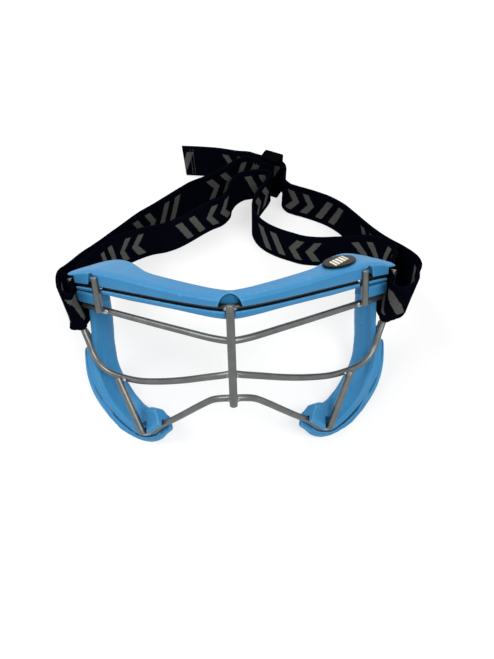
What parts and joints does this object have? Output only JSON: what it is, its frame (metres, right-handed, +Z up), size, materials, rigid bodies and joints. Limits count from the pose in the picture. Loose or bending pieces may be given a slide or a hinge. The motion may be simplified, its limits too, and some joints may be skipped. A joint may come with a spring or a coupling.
{
  "type": "lacrosse goggles",
  "caption": "Wire-cage sports goggles with a brow pad and two side pads, lying on a table with their elastic strap and slide adjuster.",
  "frame": {"origin": "on the table, below the middle of the bounding box", "axes": "+X to the right seen from the front, +Y from the nose towards the back of the strap, +Z up from the table"},
  "size_m": [0.1844, 0.2196, 0.0855],
  "materials": {
    "wire": "satin grey coating on steel wire",
    "pad": "soft satin sky-blue silicone",
    "webbing": "close-woven black elastic webbing with a grey woven pattern",
    "adjuster": "moulded black, slightly glossy",
    "badge": "black enamel with a plain cream motif"
  },
  "bodies": {
    "frame": {"brow_wire": "wire", "upper_eye_wire": "wire", "lower_eye_wire": "wire", "rim_wire": "wire", "centre_bar": "wire", "temple_bar_left": "wire", "temple_bar_right": "wire", "cheek_bar_left": "wire", "cheek_bar_right": "wire", "brow_pad": "pad", "side_pad_left": "pad", "side_pad_right": "pad", "badge": "badge"},
    "strap": {"strap": "webbing"},
    "adjuster": {"slide_adjuster": "adjuster", "strap_sewn_end": "webbing", "strap_elastic": "webbing"}
  },
  "joints": [
    {"name": "strap_swing", "type": "hinge", "parent": "frame", "child": "strap", "pos_m": [-0.00488, -0.0461, 0.04363], "axis": [1, 0, 0], "range_deg": [-3, 7]},
    {"name": "adjuster_slide", "type": "slide", "parent": "strap", "child": "adjuster", "axis": [-0.8829, 0.4695, 0], "range_m": [0, 0.009], "deforming": ["strap_elastic"]}
  ]
}
